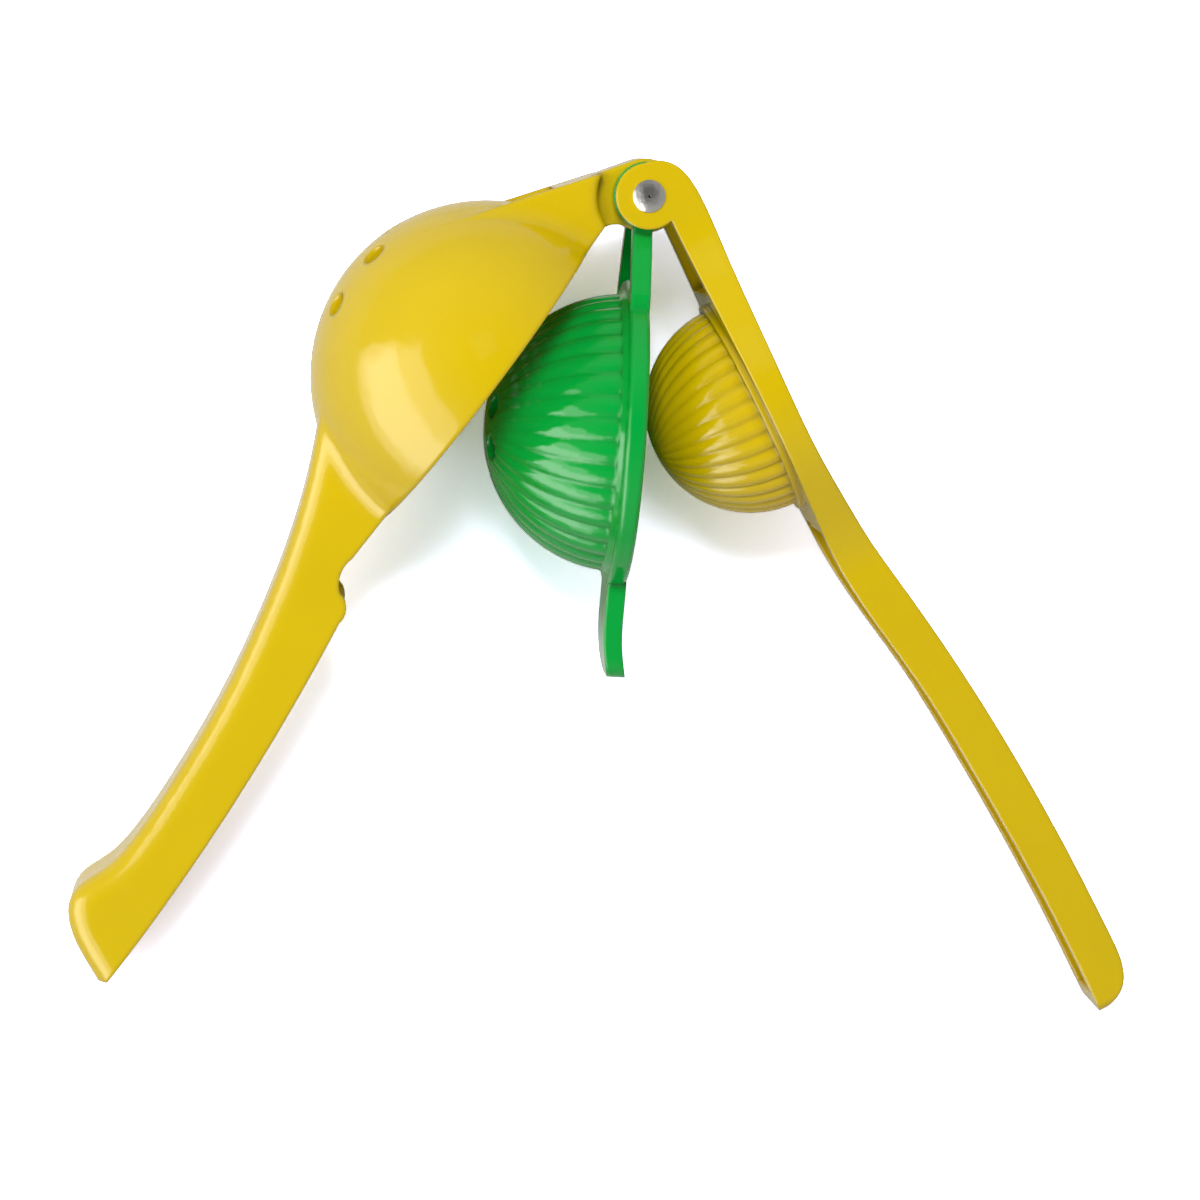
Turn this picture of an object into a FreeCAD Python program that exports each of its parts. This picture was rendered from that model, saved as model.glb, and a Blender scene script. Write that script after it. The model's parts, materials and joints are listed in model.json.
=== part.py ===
import FreeCAD, Part
import math
import os
from FreeCAD import Placement, Rotation, Vector

os.makedirs("parts", exist_ok=True)

# Driving dimensions in millimetres
# Each casting is drawn with the hinge axis on Z, its handle along +X and its dome towards -Y,
# so the three drawings lie on each other when the squeezer is closed.

# Hinge: five ears side by side on one rivet
shank_radius = 2.5
running_clearance = 0.05
lug_half_width = 8.0
lug_radius = 8.3
ear_gap = 0.25
cup_ear_width = 4.0
cup_ear_radius = 7.6
press_ear_width = 4.0
press_ear_radius = 7.4
rivet_head_radius = 3.65
rivet_head_rim = 0.35
rivet_head_height = 1.2
dimple_radius = 0.35
dimple_depth = 0.2
washer_radius = 5.0
washer_thickness = 0.8

# Three nested domes, all at one distance from the hinge
dome_distance = 54.2
bowl_radius = 40.0
bowl_wall = 3.0
bowl_rim = -3.5
cup_radius = 31.7
cup_wall = 2.6
cup_dome_level = -0.8
cup_face = 1.7
press_radius = 24.2
press_wall = 2.6
press_dome_level = 1.0
press_face = 2.1
press_step_radius = 25.6

# Flutes on the two inner domes: the corners of one flute, as a part of its width and of its depth,
# and how deep a flute still is at some slopes, in degrees, between the mouth and the pole
flute_count = 36
flute_depth = 0.8
flute_profile = ((0.0, 1.0), (0.22, 0.3), (0.5, 0.0), (0.78, 0.3))
flute_fade = ((0.0, 1.0), (45.0, 0.5), (84.0, 0.0))

# Drain holes in a ring round each pole
drain_radius = 2.8
drain_count = 6
bowl_drain_angle = 20.3
cup_drain_angle = 17.3

# Lower handle and neck of the bowl
handle_half_width = 14.5
handle_wall = 3.0
handle_back_radius = 5.0
handle_length = 216.3
handle_fillet = 6.0
neck_arc_radius = 11.35
neck_end_radius = 1.8
neck_back_angle = -79.5
neck_back_slope = -35.2
neck_floor = 4.5
neck_fillet = 6.0

# Ring, arms and thumb tab of the lime cup
ring_radius = 35.0
ring_thickness = 4.4
ring_edge_chamfer = 0.7
ring_collar = 1.1
arm_root = 14.6
arm_end = 19.5
arm_width = 3.6
tab_half_width = 9.0
tab_thickness = 4.2
tab_end = 109.7
tab_corner_radius = 4.5

# Upper handle with the press dome
press_flange_radius = 28.4
press_side_wall = 3.4
press_handle_half_width = 13.4
press_tip_half_width = 11.5
press_length = 215.3
press_tip_round = 2.5
press_plate = 2.6

# Directions of the castings at rest about the hinge, degrees from +X
lemon_direction = 232.8
cup_direction = 265.9
press_direction = 296.1

# Places across the hinge that follow from the widths
cup_ear_inner = lug_half_width + ear_gap
cup_ear_outer = cup_ear_inner + cup_ear_width
press_ear_inner = cup_ear_outer + ear_gap
press_ear_outer = press_ear_inner + press_ear_width
far_away = 60.0


def line(a, b):
    return Part.LineSegment(Vector(*a, 0), Vector(*b, 0)).toShape()


def lines(*points):
    return [line(a, b) for a, b in zip(points, points[1:])]


def arc(a, middle, b):
    return Part.Arc(Vector(*a, 0), Vector(*middle, 0), Vector(*b, 0)).toShape()


def curve(*points):
    spline = Part.BSplineCurve()
    spline.interpolate([Vector(*point, 0) for point in points])
    return spline.toShape()


def polar(radius, degrees):
    turn = math.radians(degrees)
    return (radius * math.cos(turn), radius * math.sin(turn))


def side_slab(edges, half_width):
    """A side outline in X and Y, as wide as given and even about the middle plane."""
    face = Part.Face(Part.Wire(edges))
    face.translate(Vector(0, 0, -half_width))
    return face.extrude(Vector(0, 0, 2 * half_width))


def plan_prism(half_edges, low, high):
    """A plan outline in X and Z, given for its near half and mirrored, from one level to another."""
    near = Part.Wire(half_edges)
    far = near.mirror(Vector(0, 0, 0), Vector(0, 1, 0))
    first = near.OrderedVertexes[0].Point
    last = near.OrderedVertexes[-1].Point
    closing = []
    for end in (first, last):
        if abs(end.y) > 0.001:
            closing.append(Part.LineSegment(end, Vector(end.x, -end.y, 0)).toShape())
    wire = Part.Wire(Part.__sortEdges__(near.Edges + far.Edges + closing))
    face = Part.Face(wire)
    face.rotate(Vector(0, 0, 0), Vector(1, 0, 0), 90)
    face.translate(Vector(0, low, 0))
    return face.extrude(Vector(0, high - low, 0))


def pin(radius, low, high):
    return Part.makeCylinder(radius, high - low, Vector(0, 0, low))


def disc(radius, low, high):
    """A round plate on the axis of the domes."""
    return Part.makeCylinder(radius, high - low, Vector(dome_distance, low, 0), Vector(0, 1, 0))


def dome(radius, level):
    """A half ball with its flat face at the level and its pole towards -Y."""
    ball = Part.makeSphere(radius, Vector(dome_distance, level, 0))
    size = 3 * radius
    keep = Part.makeBox(size, size, size, Vector(dome_distance - size / 2, level - size, -size / 2))
    return ball.common(keep)


def drain_holes(level, radius, angle):
    """Straight holes square to the shell, in a ring round the pole."""
    centre = Vector(dome_distance, level, 0)
    lean = Rotation(Vector(0, 0, 1), angle).multVec(Vector(0, -1, 0))
    holes = []
    for index in range(drain_count):
        turn = Rotation(Vector(0, 1, 0), 360.0 * index / drain_count)
        direction = turn.multVec(lean)
        start = centre + direction * (0.7 * radius)
        holes.append(Part.makeCylinder(drain_radius, radius / 2, start, direction))
    return holes


def fluted_dome(radius, level):
    """A half ball of ruled strips between meridians, alternately on the ridges and in the grooves."""
    def meridian_point(slope, turn, depth):
        out, down = polar(radius - depth, slope)
        across = polar(out, turn)
        return Vector(dome_distance + across[0], level - down, across[1])

    meridians = []
    for index in range(flute_count):
        for part_width, part_depth in flute_profile:
            turn = 360.0 * (index + part_width) / flute_count
            points = [meridian_point(slope, turn, flute_depth * part_depth * fade)
                      for slope, fade in flute_fade]
            meridians.append(Part.Arc(*points).toShape())
    strips = [Part.makeRuledSurface(a, b) for a, b in zip(meridians, meridians[1:] + meridians[:1])]
    mouth = [meridian.Vertexes[0].Point for meridian in meridians]
    pole = [meridian.Vertexes[-1].Point for meridian in meridians]
    caps = [Part.Face(Part.makePolygon(ends + ends[:1])) for ends in (mouth, pole)]
    shell = Part.makeShell(strips + caps)
    shell.sewShape()
    solid = Part.makeSolid(shell)
    if solid.Volume < 0:
        solid.reverse()
    return solid


def single_solid(shape):
    """The one solid of a finished casting."""
    solids = shape.removeSplitter().Solids
    if len(solids) != 1:
        raise ValueError("a casting came out in %d solids" % len(solids))
    return solids[0]


def neck_back_point(distance):
    """A point of the neck's sloping back, at a distance from where the slope starts."""
    start = polar(neck_arc_radius, neck_back_angle)
    step = polar(distance, neck_back_slope)
    return (start[0] + step[0], start[1] + step[1])


def bowl_neck():
    """Two cheeks and a floor between the bowl and the hinge, open at the back."""
    back_start = neck_back_point(0.0)
    back_end = neck_back_point(27.0)
    arc_end = (math.sqrt(neck_arc_radius ** 2 - bowl_rim ** 2), bowl_rim)
    inside = (34.0, bowl_rim)
    neck = side_slab([arc(back_start, polar(neck_arc_radius, -48.0), arc_end)]
                     + lines(arc_end, inside, back_end, back_start), handle_half_width)
    end_edges = [edge for edge in neck.Edges
                 if edge.CenterOfMass.x < arc_end[0] and abs(edge.CenterOfMass.z) > handle_half_width - 0.01]
    neck = neck.makeFillet(neck_end_radius, end_edges)
    floor = bowl_rim - neck_floor
    pocket = side_slab(lines((11.0, floor), (40.0, floor), (40.0, -far_away), (11.0, -far_away),
                             (11.0, floor)), handle_half_width - handle_wall)
    lug_back = polar(lug_radius, neck_back_slope - 90.0)
    lug_root = (back_start[0] + 3.0, back_start[1] - 2.1)
    lug_front = polar(lug_radius, 12.0)
    lug_end = (12.5, bowl_rim)
    lug = side_slab([arc(lug_back, polar(lug_radius, 130.0), lug_front),
                     arc(lug_front, (9.3, -1.6), lug_end)]
                    + lines(lug_end, (13.5, -12.0), lug_root, lug_back), lug_half_width)
    return neck.cut(pocket).fuse(lug)


def neck_corner():
    """The soft inside corner between one cheek and the bowl, turned about the bowl's cross axis.

    A tube rolls in the corner, sunk a little into both sides, and the corner is filled up to the tube.
    """
    overlap = 0.03
    sunk = 1.5
    cheek = handle_half_width
    tube = neck_fillet
    reach = bowl_radius + tube - overlap
    height = cheek + tube - overlap
    centre = (math.sqrt(reach ** 2 - height ** 2), height)
    on_cheek = (centre[0] - math.sqrt(tube ** 2 - (height - cheek) ** 2), cheek)
    along = (bowl_radius ** 2 - tube ** 2 + reach ** 2) / (2 * reach)
    aside = math.sqrt(bowl_radius ** 2 - along ** 2)
    on_bowl = ((along * centre[0] + aside * centre[1]) / reach,
               (along * centre[1] - aside * centre[0]) / reach)
    toward = [(on_cheek[i] + on_bowl[i]) / 2 - centre[i] for i in range(2)]
    stretch = tube / math.hypot(*toward)
    middle = (centre[0] + stretch * toward[0], centre[1] + stretch * toward[1])
    inner = 1.0 - sunk / bowl_radius
    seam = math.sqrt(bowl_radius ** 2 - cheek ** 2)
    edges = [arc(on_bowl, middle, on_cheek)] + lines(
        on_cheek, (on_cheek[0], cheek - sunk), (seam - 0.5 * sunk, cheek - sunk),
        (inner * on_bowl[0], inner * on_bowl[1]), on_bowl)
    face = Part.Face(Part.Wire(edges))
    face.rotate(Vector(0, 0, 0), Vector(1, 0, 0), 90)
    face.rotate(Vector(0, 0, 0), Vector(0, 0, 1), 180)
    face.translate(Vector(dome_distance, bowl_rim, 0))
    corner = face.revolve(Vector(dome_distance, bowl_rim, 0), Vector(0, 0, 1), 60)
    above_back = side_slab(lines((0.0, bowl_rim), (far_away, bowl_rim), neck_back_point(70.0),
                                 neck_back_point(0.0), (0.0, bowl_rim)), bowl_radius)
    return corner.common(above_back)


def bowl_handle():
    """The deep channel handle with its round back, tab notch and hooked end."""
    start = (76.0, bowl_rim)
    seat_start = (104.5, -4.1)
    notch = (112.6, -1.6)
    lip = (118.0, 2.3)
    tip = (215.0, 9.3)
    end_corner = (handle_length, 7.4)
    root = (80.0, -31.0)
    back = curve(end_corner, (213.2, 0.2), (210.2, -4.7), (206.6, -7.9), (202.2, -8.8), (198.0, -7.6),
                 (193.5, -6.1), (186.0, -5.3), (169.5, -6.0), (148.5, -8.4), (128.7, -12.4),
                 (110.0, -17.6), (99.0, -21.6), (88.0, -26.6), root)
    outline = [line(start, seat_start), arc(seat_start, (109.5, -3.9), notch),
               curve(notch, (113.4, 0.6), (115.0, 1.9), lip),
               curve(lip, (133.0, 4.5), (153.0, 6.8), (175.0, 8.5), (197.0, 9.3), tip),
               line(tip, end_corner), back, line(root, start)]
    handle = side_slab(outline, handle_half_width)
    back_edges = [edge for edge in handle.Edges
                  if edge.Length > 0.9 * back.Length and abs(edge.CenterOfMass.z) > 1]
    handle = handle.makeFillet(handle_back_radius, back_edges)
    floor_start = (86.0, -23.6)
    channel = side_slab(lines((60.0, 20.0), (60.0, -23.6), floor_start)
                        + [curve(floor_start, (98.0, -18.6), (111.0, -14.0), (129.3, -9.3),
                                 (149.0, -5.3), (169.7, -2.9), (188.0, -2.2), (203.0, -3.6))]
                        + lines((203.0, -3.6), (206.3, -3.6), (213.0, 12.0), (213.0, 20.0), (60.0, 20.0)),
                        handle_half_width - handle_wall)
    return handle.cut(channel)


def handle_root_edges(shape):
    """The edges along which the handle meets the outside of the bowl."""
    centre = Vector(dome_distance, bowl_rim, 0)
    found = []
    for edge in shape.Edges:
        off_bowl = max(abs((vertex.Point - centre).Length - bowl_radius) for vertex in edge.Vertexes)
        middle = edge.CenterOfMass
        if off_bowl < 0.01 and middle.x > dome_distance and middle.y < bowl_rim - 0.5:
            found.append(edge)
    return found


def lemon_casting():
    body = dome(bowl_radius, bowl_rim).fuse([bowl_neck(), bowl_handle()]).removeSplitter()
    body = body.makeFillet(handle_fillet, handle_root_edges(body))
    corner = neck_corner()
    body = body.fuse([corner, corner.mirror(Vector(0, 0, 0), Vector(0, 0, 1))])
    cavity = dome(bowl_radius - bowl_wall, bowl_rim).fuse(
        disc(bowl_radius - bowl_wall, bowl_rim, far_away))
    bore = pin(shank_radius + running_clearance, -far_away, far_away)
    holes = drain_holes(bowl_rim, bowl_radius, bowl_drain_angle)
    return single_solid(body.cut([cavity, bore] + holes))


def cup_arm_plan(side):
    """Plan of one arm: straight at the ear, then bent outwards to the ring."""
    inner = cup_ear_inner
    outer = cup_ear_outer
    points = [(0.0, inner), (8.6, inner), (13.0, arm_root - arm_width), (22.0, arm_end - arm_width),
              (34.0, arm_end - arm_width), (34.0, arm_end), (22.0, arm_end), (12.0, arm_root),
              (8.6, outer), (0.0, outer)]
    points = [(x, side * z) for x, z in points]
    face = Part.Face(Part.Wire(lines(*points, points[0])))
    face.rotate(Vector(0, 0, 0), Vector(1, 0, 0), 90)
    face.translate(Vector(0, cup_face - ring_thickness, 0))
    return face.extrude(Vector(0, ring_thickness, 0))


def thumb_tab():
    """A tongue that leaves the ring opposite the hinge and curls up at its end."""
    top = [(84.0, cup_face), (92.0, cup_face + 0.1), (100.5, cup_face + 0.1), (106.0, cup_face + 0.8),
           (tab_end, cup_face + 1.7)]
    low = [(x, y - tab_thickness) for x, y in reversed(top)]
    tab = side_slab([curve(*top), line(top[-1], low[0]), curve(*low), line(low[-1], top[0])],
                    tab_half_width)
    corners = [edge for edge in tab.Edges
               if edge.CenterOfMass.x > tab_end - 0.5 and abs(edge.CenterOfMass.z) > 1]
    return tab.makeFillet(tab_corner_radius, corners)


def lime_casting():
    ears = [pin(cup_ear_radius, cup_ear_inner, cup_ear_outer),
            pin(cup_ear_radius, -cup_ear_outer, -cup_ear_inner)]
    shell = fluted_dome(cup_radius, cup_dome_level)
    ring = disc(ring_radius, cup_face - ring_thickness, cup_face)
    ring = ring.makeChamfer(ring_edge_chamfer, [edge for edge in ring.Edges if edge.isClosed()])
    collar = Part.makeCone(cup_radius + ring_collar, cup_radius - 0.2, 1.3 * ring_collar,
                           Vector(dome_distance, cup_face - ring_thickness, 0), Vector(0, -1, 0))
    body = ring.fuse([shell, collar, thumb_tab(), cup_arm_plan(1), cup_arm_plan(-1)] + ears)
    inner = cup_radius - cup_wall
    cavity = dome(inner, cup_dome_level).fuse(disc(inner, cup_dome_level, far_away))
    bore = pin(shank_radius + running_clearance, -far_away, far_away)
    holes = drain_holes(cup_dome_level, cup_radius, cup_drain_angle)
    return single_solid(body.cut([cavity, bore] + holes))


def press_plan(inset, low, high):
    """Plan of the press: ears, arms that widen round the dome, then the slim handle."""
    ear = press_ear_outer - (press_ear_width if inset else 0.0)
    wide = press_flange_radius - inset
    start = (8.5, ear)
    waist = (100.0, press_handle_half_width - inset)
    swell = curve(start, (17.0, ear + 1.3), (28.0, ear + 5.0), (40.0, wide - 2.6), (54.2, wide),
                  (67.0, wide - 2.4), (79.0, wide - 8.6), (90.0, waist[1] + 1.3), waist)
    end = press_length - inset
    half = press_tip_half_width - inset
    tip_start = (end - press_tip_round, half)
    tip_end = (end, half - press_tip_round)
    tip_centre = (end - press_tip_round, half - press_tip_round)
    tip_step = polar(press_tip_round, 45.0)
    tip_middle = (tip_centre[0] + tip_step[0], tip_centre[1] + tip_step[1])
    near_half = [line((-20.0, ear), start), swell, line(waist, tip_start),
                 arc(tip_start, tip_middle, tip_end)]
    return plan_prism(near_half, low, high)


def press_side():
    """Side outline of the press: round ears, flat face to the cup and a gently bowed handle."""
    face_start = polar(press_ear_radius, 16.5)
    ear_top = polar(press_ear_radius, 160.0)
    face_end = (91.0, press_face)
    tip_low = (press_length, 12.1)
    tip_high = (press_length, 13.4)
    back = curve(ear_top, (-5.9, 5.9), (-3.2, 8.6), (1.0, 10.0), (6.0, 10.4), (20.6, 9.7), (40.0, 8.7),
                 (54.0, 8.2), (68.0, 8.5), (81.0, 9.9), (91.6, 11.2), (102.8, 13.1), (119.5, 15.9),
                 (141.5, 18.7), (163.0, 20.5), (184.3, 21.5), (200.0, 21.8), (207.5, 21.3),
                 (212.0, 19.2), (214.1, 16.4), tip_high)
    front = curve(tip_low, (200.2, 12.1), (189.8, 11.9), (168.4, 10.9), (146.9, 9.3), (125.0, 6.9),
                  (113.7, 4.9), (101.0, 2.9), face_end)
    start = (face_start[0], press_face)
    return [arc(start, polar(press_ear_radius, -100.0), ear_top), back, line(tip_high, tip_low), front,
            line(face_end, start)]


def press_casting():
    block = side_slab(press_side(), far_away).common(press_plan(0.0, -far_away, far_away))
    inside = press_plan(press_side_wall, -far_away, far_away)
    plate_top = press_face + press_plate
    window = 26.0
    from_back = side_slab(lines((-20.0, -20.0), (window, -20.0), (window, plate_top), (80.0, plate_top),
                                (93.0, 12.9), (93.0, 40.0), (-20.0, 40.0), (-20.0, -20.0)), far_away)
    floor_start = (97.5, 8.6)
    floor_end = (204.0, 18.4)
    from_front = side_slab(lines((84.0, -10.0), (84.0, press_face - 0.6), floor_start)
                           + [curve(floor_start, (105.0, 10.4), (119.5, 12.9), (141.5, 15.7),
                                    (163.0, 17.5), (184.3, 18.5), floor_end)]
                           + lines(floor_end, (211.1, 15.4), (212.5, -10.0), (84.0, -10.0)), far_away)
    body = block.cut([inside.common(from_back), inside.common(from_front)])
    shell = fluted_dome(press_radius, press_dome_level)
    step = disc(press_step_radius, press_dome_level - 0.5, plate_top)
    hollow = press_radius - press_wall
    cavity = dome(hollow, press_dome_level).fuse(disc(hollow, press_dome_level, far_away))
    bore = pin(shank_radius, -far_away, far_away)
    return single_solid(body.fuse([shell, step]).cut([cavity, bore]))


def rivet():
    """Steel rivet: low domed head with a small dimple, and a formed end on the washer."""
    def cap(base, sign):
        rim = base + sign * rivet_head_rim
        rise = rivet_head_height - rivet_head_rim
        shoulder = rim + sign * 0.7 * rise
        top = rim + sign * rise
        dimple = (0.0, top - sign * dimple_depth)
        return [line((shank_radius, base), (rivet_head_radius, base)),
                line((rivet_head_radius, base), (rivet_head_radius, rim)),
                arc((rivet_head_radius, rim), (0.6 * rivet_head_radius, shoulder), (dimple_radius, top)),
                line((dimple_radius, top), dimple)]

    near = press_ear_outer
    far = -press_ear_outer - washer_thickness
    near_cap = cap(near, 1)
    far_cap = cap(far, -1)
    axis_line = line((0.0, near + rivet_head_height - dimple_depth),
                     (0.0, far - rivet_head_height + dimple_depth))
    shank_line = line((shank_radius, near), (shank_radius, far))
    face = Part.Face(Part.Wire(Part.__sortEdges__(near_cap + far_cap + [axis_line, shank_line])))
    face.rotate(Vector(0, 0, 0), Vector(1, 0, 0), 90)
    return face.revolve(Vector(0, 0, 0), Vector(0, 0, 1), 360).Solids[0]


def washer():
    plate = pin(washer_radius, -press_ear_outer - washer_thickness, -press_ear_outer)
    return plate.cut(pin(shank_radius, -far_away, far_away))


def resting_rotation():
    """Turn that lays the open squeezer on the bowl's rim and the two handle tips."""
    def spot(direction, x, y, z):
        return Rotation(Vector(0, 0, 1), direction).multVec(Vector(x, y, z))

    bowl_foot = spot(lemon_direction, dome_distance, bowl_rim, -bowl_radius)
    lemon_tip = spot(lemon_direction, 214.0, 9.0, -handle_half_width)
    press_tip = spot(press_direction, press_length, 12.0, -press_tip_half_width)
    normal = (press_tip - bowl_foot).cross(lemon_tip - bowl_foot).normalize()
    if normal.z < 0:
        normal = normal * -1
    return Rotation(normal, Vector(0, 0, 1))


# Every node with the direction in which its drawing is turned
nodes = {
    "lemon_bowl_handle": (lemon_casting(), lemon_direction),
    "lime_cup": (lime_casting(), cup_direction),
    "press_handle": (press_casting(), press_direction),
    "hinge_rivet": (rivet(), press_direction),
    "rivet_washer": (washer(), press_direction),
}

lean = resting_rotation()
placed = {}
for name, (shape, direction) in nodes.items():
    shape.Placement = Placement(Vector(0, 0, 0), lean.multiply(Rotation(Vector(0, 0, 1), direction)))
    placed[name] = shape

# The origin is under the middle of the whole squeezer, on the surface that it lies on
bounds = Part.makeCompound(list(placed.values())).optimalBoundingBox(False)
shift = Vector(-(bounds.XMin + bounds.XMax) / 2, -(bounds.YMin + bounds.YMax) / 2, -bounds.ZMin)
for name, shape in placed.items():
    shape.Placement = Placement(shift, Rotation()).multiply(shape.Placement)
    shape.exportStep("parts/" + name + ".step")

pin_axis = lean.multVec(Vector(0, 0, 1))
print("hinge axis through", tuple(round(value, 4) for value in shift))
print("hinge axis direction", tuple(round(value, 6) for value in pin_axis))
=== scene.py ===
import json
import math

import bpy
from mathutils import Matrix, Vector

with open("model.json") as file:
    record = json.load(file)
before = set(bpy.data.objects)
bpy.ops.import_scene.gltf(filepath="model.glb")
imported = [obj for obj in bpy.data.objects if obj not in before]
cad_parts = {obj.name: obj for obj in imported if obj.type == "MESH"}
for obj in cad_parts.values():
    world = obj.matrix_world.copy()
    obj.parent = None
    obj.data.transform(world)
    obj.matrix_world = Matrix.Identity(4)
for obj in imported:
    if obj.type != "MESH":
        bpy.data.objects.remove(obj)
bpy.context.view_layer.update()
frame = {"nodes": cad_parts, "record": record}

# The hinge pin, and how far it leans because the open squeezer lies on the rim of its bowl
hinge = frame["record"]["behaviour"]["joints"][0]
pin_place = Vector(hinge["pos_m"])
pin_lean = Vector((0.0, 0.0, 1.0)).rotation_difference(Vector(hinge["axis"]))

# The photograph's viewpoint in metres from the pin, with the pin upright: a long lens almost straight above
camera_place = Vector((-0.0772, 0.0147, 0.9013))
camera_aim = Vector((-0.0105, -0.0911, 0.0100))
camera_up = Vector((0.0088, 0.9930, -0.1171))
camera_lens_mm = 119.2
camera_sensor_mm = 36.0

# Surface colours as they show in plain light, 0 to 1 in sRGB
yellow_colour = (0.885, 0.760, 0.020)
green_colour = (0.0, 0.680, 0.250)
steel_colour = (0.88, 0.87, 0.85)

# Painted shade: the enamel's colour is darkened in grooves and corners, where shade falls: how far that
# reaches, and how dark
hollow_shade_reach = 0.003
painted_hollow_shade = 0.30

# The enamel's faint cloud, uneven gloss, orange peel and pits: each scale is in cells per metre
cloud_scale = 35.0
cloud_dark = 0.94
cloud_light = 1.05
gloss_scale = 90.0
peel_scale = 120.0
peel_strength = 0.7
peel_height = 0.00030
pit_scale = 2600.0
pit_strength = 0.08
pit_height = 0.0001
enamel_ior = 1.5
edge_and_hollow_samples = 8

# The rivet steel's stains, gloss and wear, and painted shade in the dimpled centre on the hinge axis
stain_scale = 500.0
stain_shade = 0.8
steel_gloss_scale = 900.0
steel_gloss = (0.24, 0.42)
wear_scale = 700.0
wear_height = 0.00012
steel_edge_radius = 0.0002
dimple_floor_radius = 0.00025
dimple_edge_radius = 0.00050
painted_dimple_shade = 0.05

# Plain light: how bright each source is, where 1 is white
world_light = 0.30
key_light = 1.1
key_shine = 2.5
low_shine = 2.3
top_light = 28.5

# What the enamel mirrors above the floor: a room that is dim overhead and brighter at the horizon
room_at_horizon = 0.50
room_overhead = 0.05
room_falloff = 4.0

# The floor's colour: it burns out to white for the camera, is pale in mirrors and light grey to the rest.
# The camera's is a little blue, because the castings throw yellow light into their own shadows.
floor_to_camera = (2.55, 2.62, 3.30)
floor_to_mirrors = (0.72, 0.72, 0.72)
floor_to_rest = (0.78, 0.78, 0.78)
floor_half_width = 1.2
floor_drop = 0.0002


def linear(colour):
    """The linear light value of an sRGB colour."""
    return tuple(c / 12.92 if c <= 0.04045 else ((c + 0.055) / 1.055) ** 2.4 for c in colour)


def add_camera():
    """The photograph's camera, placed from the hinge pin."""
    data = bpy.data.cameras.new("camera")
    camera = bpy.data.objects.new("camera", data)
    bpy.context.scene.collection.objects.link(camera)
    data.sensor_fit = "HORIZONTAL"
    data.sensor_width = camera_sensor_mm
    data.lens = camera_lens_mm
    data.clip_start = 0.01
    data.clip_end = 10.0
    place = pin_place + pin_lean @ camera_place
    aim = pin_place + pin_lean @ camera_aim
    back = (place - aim).normalized()
    right = (pin_lean @ camera_up).cross(back).normalized()
    up = back.cross(right)
    turn = Matrix((right, up, back)).transposed().to_4x4()
    camera.matrix_world = Matrix.Translation(place) @ turn
    bpy.context.scene.camera = camera


def add_softbox(name, azimuth, elevation, distance, size, brightness):
    """A softbox round the object: azimuth in degrees from +X, and its brightness where 1 is white."""
    data = bpy.data.lights.new(name, "AREA")
    data.shape = "RECTANGLE"
    data.size, data.size_y = size
    data.energy = brightness * math.pi * size[0] * size[1]
    light = bpy.data.objects.new(name, data)
    bpy.context.scene.collection.objects.link(light)
    flat = distance * math.cos(math.radians(elevation))
    light.location = (flat * math.cos(math.radians(azimuth)), flat * math.sin(math.radians(azimuth)),
                      distance * math.sin(math.radians(elevation)))
    light.rotation_euler = (-light.location).to_track_quat("-Z", "Y").to_euler()
    return light


def new_material(name):
    """An empty material, with what its nodes need: the nodes, their links and the shader."""
    material = bpy.data.materials.new(name)
    material.use_nodes = True
    nodes = material.node_tree.nodes
    return material, nodes, material.node_tree.links, nodes["Principled BSDF"]


def noise(nodes, links, coordinates, scale, detail=2.0):
    """Noise from 0 to 1 that is fixed to the object."""
    node = nodes.new("ShaderNodeTexNoise")
    node.inputs["Scale"].default_value = scale
    node.inputs["Detail"].default_value = detail
    links.new(coordinates, node.inputs["Vector"])
    return node.outputs["Fac"]


def mapped(nodes, links, value, low, high):
    """A value from 0 to 1, spread from low to high."""
    node = nodes.new("ShaderNodeMapRange")
    node.inputs["To Min"].default_value = low
    node.inputs["To Max"].default_value = high
    links.new(value, node.inputs["Value"])
    return node.outputs["Result"]


def bump(nodes, links, height, strength, distance, below):
    """A bump on top of the normal that is below it."""
    node = nodes.new("ShaderNodeBump")
    node.inputs["Strength"].default_value = strength
    node.inputs["Distance"].default_value = distance
    links.new(height, node.inputs["Height"])
    links.new(below, node.inputs["Normal"])
    return node.outputs["Normal"]


def by_value(nodes, links, value, high, low):
    """A mix of two colours by a value from 0 to 1: each is a colour or a socket."""
    node = nodes.new("ShaderNodeMix")
    node.data_type = "RGBA"
    links.new(value, node.inputs["Factor"])
    for name, colour in (("A", low), ("B", high)):
        if isinstance(colour, bpy.types.NodeSocket):
            links.new(colour, node.inputs[name])
        else:
            node.inputs[name].default_value = (*colour[:3], 1.0)
    return node.outputs["Result"]


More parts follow.
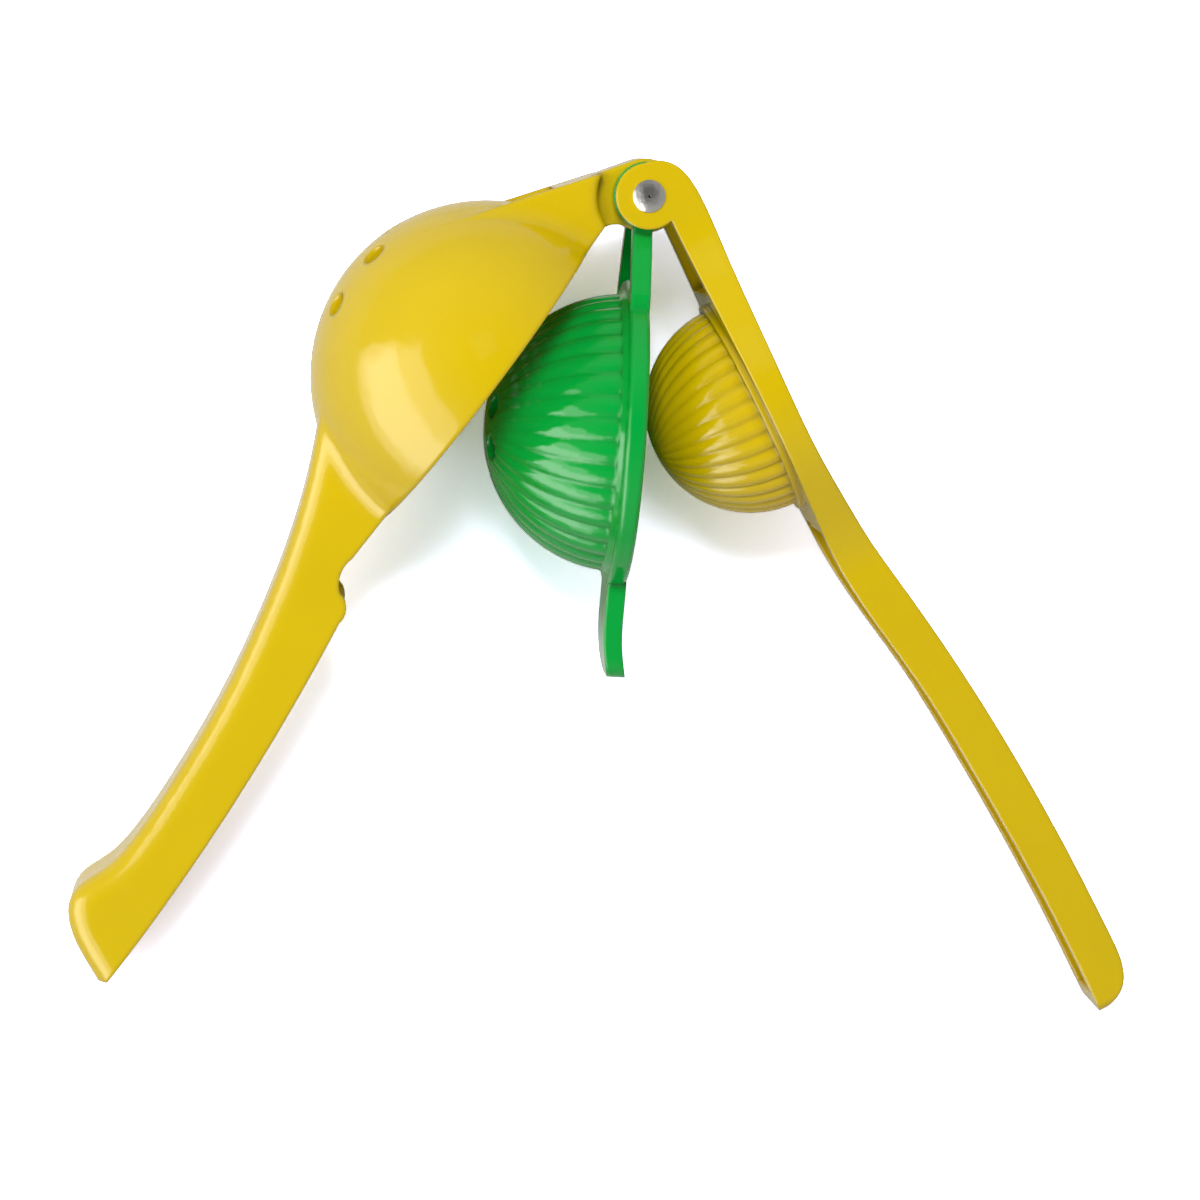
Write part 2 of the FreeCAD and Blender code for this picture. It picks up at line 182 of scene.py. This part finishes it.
def enamel(name, colour, gloss, edge_radius):
    """Fired enamel on a casting: round edges, a faint cloud, painted shade in grooves and corners, orange
    peel and fine pits.
    """
    material, nodes, links, shader = new_material(name)
    place = nodes.new("ShaderNodeTexCoord").outputs["Object"]
    base = linear(colour)
    tint = by_value(nodes, links, noise(nodes, links, place, cloud_scale, detail=3.0),
                    [min(1.0, cloud_light * c) for c in base], [cloud_dark * c for c in base])
    # Painted shade: occlusion darkens the colour towards a darker tone in grooves and corners
    hollow_shade_mask = nodes.new("ShaderNodeAmbientOcclusion")
    hollow_shade_mask.samples = edge_and_hollow_samples
    hollow_shade_mask.only_local = True
    hollow_shade_mask.inputs["Distance"].default_value = hollow_shade_reach
    painted_hollow_colour = [painted_hollow_shade * c for c in base]
    links.new(by_value(nodes, links, hollow_shade_mask.outputs["AO"], tint, painted_hollow_colour), shader.inputs["Base Color"])
    uneven_gloss = mapped(nodes, links, noise(nodes, links, place, gloss_scale), *gloss)
    links.new(uneven_gloss, shader.inputs["Roughness"])
    rounded = nodes.new("ShaderNodeBevel")
    rounded.samples = edge_and_hollow_samples
    rounded.inputs["Radius"].default_value = edge_radius
    peel = bump(nodes, links, noise(nodes, links, place, peel_scale), peel_strength, peel_height,
                rounded.outputs["Normal"])
    pits = bump(nodes, links, noise(nodes, links, place, pit_scale, detail=1.0),
                pit_strength, pit_height, peel)
    links.new(pits, shader.inputs["Normal"])
    shader.inputs["IOR"].default_value = enamel_ior
    return material


def distance_from_pin(nodes, links, place):
    """How far a point is from the hinge axis, in metres."""
    outward = nodes.new("ShaderNodeVectorMath")
    outward.operation = "SUBTRACT"
    outward.inputs[1].default_value = pin_place
    links.new(place, outward.inputs[0])
    across = nodes.new("ShaderNodeVectorMath")
    across.operation = "CROSS_PRODUCT"
    across.inputs[1].default_value = pin_lean @ Vector((0.0, 0.0, 1.0))
    links.new(outward.outputs["Vector"], across.inputs[0])
    length = nodes.new("ShaderNodeVectorMath")
    length.operation = "LENGTH"
    links.new(across.outputs["Vector"], length.inputs[0])
    return length.outputs["Value"]


def steel(name):
    """Polished rivet steel, a little worn, with painted shade in its dimpled centre on the hinge axis."""
    material, nodes, links, shader = new_material(name)
    place = nodes.new("ShaderNodeTexCoord").outputs["Object"]
    base = linear(steel_colour)
    tint = by_value(nodes, links, noise(nodes, links, place, stain_scale, detail=3.0),
                    base, [stain_shade * c for c in base])
    # Painted shade: the colour goes nearly black inside the dimpled centre on the hinge axis
    dimple_shade_mask = nodes.new("ShaderNodeMapRange")
    dimple_shade_mask.inputs["From Min"].default_value = dimple_floor_radius
    dimple_shade_mask.inputs["From Max"].default_value = dimple_edge_radius
    links.new(distance_from_pin(nodes, links, place), dimple_shade_mask.inputs["Value"])
    painted_dimple_colour = [painted_dimple_shade * c for c in base]
    links.new(by_value(nodes, links, dimple_shade_mask.outputs["Result"], tint, painted_dimple_colour), shader.inputs["Base Color"])
    shader.inputs["Metallic"].default_value = 1.0
    uneven_gloss = mapped(nodes, links, noise(nodes, links, place, steel_gloss_scale), *steel_gloss)
    links.new(uneven_gloss, shader.inputs["Roughness"])
    rounded = nodes.new("ShaderNodeBevel")
    rounded.inputs["Radius"].default_value = steel_edge_radius
    wear = bump(nodes, links, noise(nodes, links, place, wear_scale), 1.0, wear_height,
                rounded.outputs["Normal"])
    links.new(wear, shader.inputs["Normal"])
    return material


def add_floor():
    """A matt floor just below the object, with its own colour for the camera and for mirrors."""
    half = floor_half_width
    mesh = bpy.data.meshes.new("floor")
    corners = [(-half, -half, 0), (half, -half, 0), (half, half, 0), (-half, half, 0)]
    mesh.from_pydata(corners, [], [(0, 1, 2, 3)])
    floor = bpy.data.objects.new("floor", mesh)
    bpy.context.scene.collection.objects.link(floor)
    floor.location.z = -floor_drop
    material, nodes, links, shader = new_material("pale_floor")
    nodes.remove(shader)
    matt = nodes.new("ShaderNodeBsdfDiffuse")
    path = nodes.new("ShaderNodeLightPath")
    colour = floor_to_rest
    for kind, chosen in (("Is Glossy Ray", floor_to_mirrors), ("Is Transmission Ray", floor_to_mirrors),
                         ("Is Camera Ray", floor_to_camera)):
        colour = by_value(nodes, links, path.outputs[kind], chosen, colour)
    links.new(colour, matt.inputs["Color"])
    links.new(matt.outputs["BSDF"], nodes["Material Output"].inputs["Surface"])
    mesh.materials.append(material)


def set_world():
    """White to the camera, the dim room in mirrors, and an even light to the rest."""
    world = bpy.data.worlds.new("studio")
    bpy.context.scene.world = world
    world.use_nodes = True
    nodes = world.node_tree.nodes
    links = world.node_tree.links
    height = nodes.new("ShaderNodeSeparateXYZ")
    links.new(nodes.new("ShaderNodeTexCoord").outputs["Generated"], height.inputs["Vector"])
    falloff = nodes.new("ShaderNodeMath")
    falloff.operation = "POWER"
    falloff.use_clamp = True
    falloff.inputs[1].default_value = room_falloff
    links.new(height.outputs["Z"], falloff.inputs[0])
    mirrored = mapped(nodes, links, falloff.outputs[0], room_at_horizon, room_overhead)
    path = nodes.new("ShaderNodeLightPath")
    colour = by_value(nodes, links, path.outputs["Is Glossy Ray"], mirrored, [world_light] * 3)
    colour = by_value(nodes, links, path.outputs["Is Camera Ray"], (1.0, 1.0, 1.0), colour)
    links.new(colour, nodes["Background"].inputs["Color"])
    nodes["Background"].inputs["Strength"].default_value = 1.0


def add_lights():
    """A broad key light with two shines in the enamel, and a small high light for narrow shadows."""
    key = add_softbox("key_softbox", azimuth=200.0, elevation=42.0, distance=0.78,
                      size=(1.10, 0.66), brightness=key_light)
    key.visible_glossy = False
    shine = add_softbox("key_shine", azimuth=205.0, elevation=31.0, distance=0.72,
                        size=(1.05, 0.60), brightness=key_shine)
    shine.visible_diffuse = False
    low = add_softbox("low_shine", azimuth=208.0, elevation=17.0, distance=0.85,
                      size=(1.60, 0.60), brightness=low_shine)
    low.visible_diffuse = False
    top = add_softbox("top_softbox", azimuth=108.0, elevation=73.0, distance=1.1,
                      size=(0.26, 0.26), brightness=top_light)
    top.visible_glossy = False


add_camera()
set_world()
add_floor()
add_lights()

# Each casting's roughness range and the radius of its small edges, in metres
finishes = {
    "lemon_bowl_handle": enamel("yellow_enamel", yellow_colour, gloss=(0.10, 0.18), edge_radius=0.0017),
    "lime_cup": enamel("green_enamel", green_colour, gloss=(0.03, 0.06), edge_radius=0.0012),
    "press_handle": enamel("yellow_enamel_press", yellow_colour, gloss=(0.08, 0.15), edge_radius=0.0011),
    "hinge_rivet": steel("polished_steel"),
}
finishes["rivet_washer"] = finishes["hinge_rivet"]
for name, finish in finishes.items():
    node = frame["nodes"][name]
    node.data.materials.clear()
    node.data.materials.append(finish)

bpy.context.scene.view_settings.view_transform = "Standard"
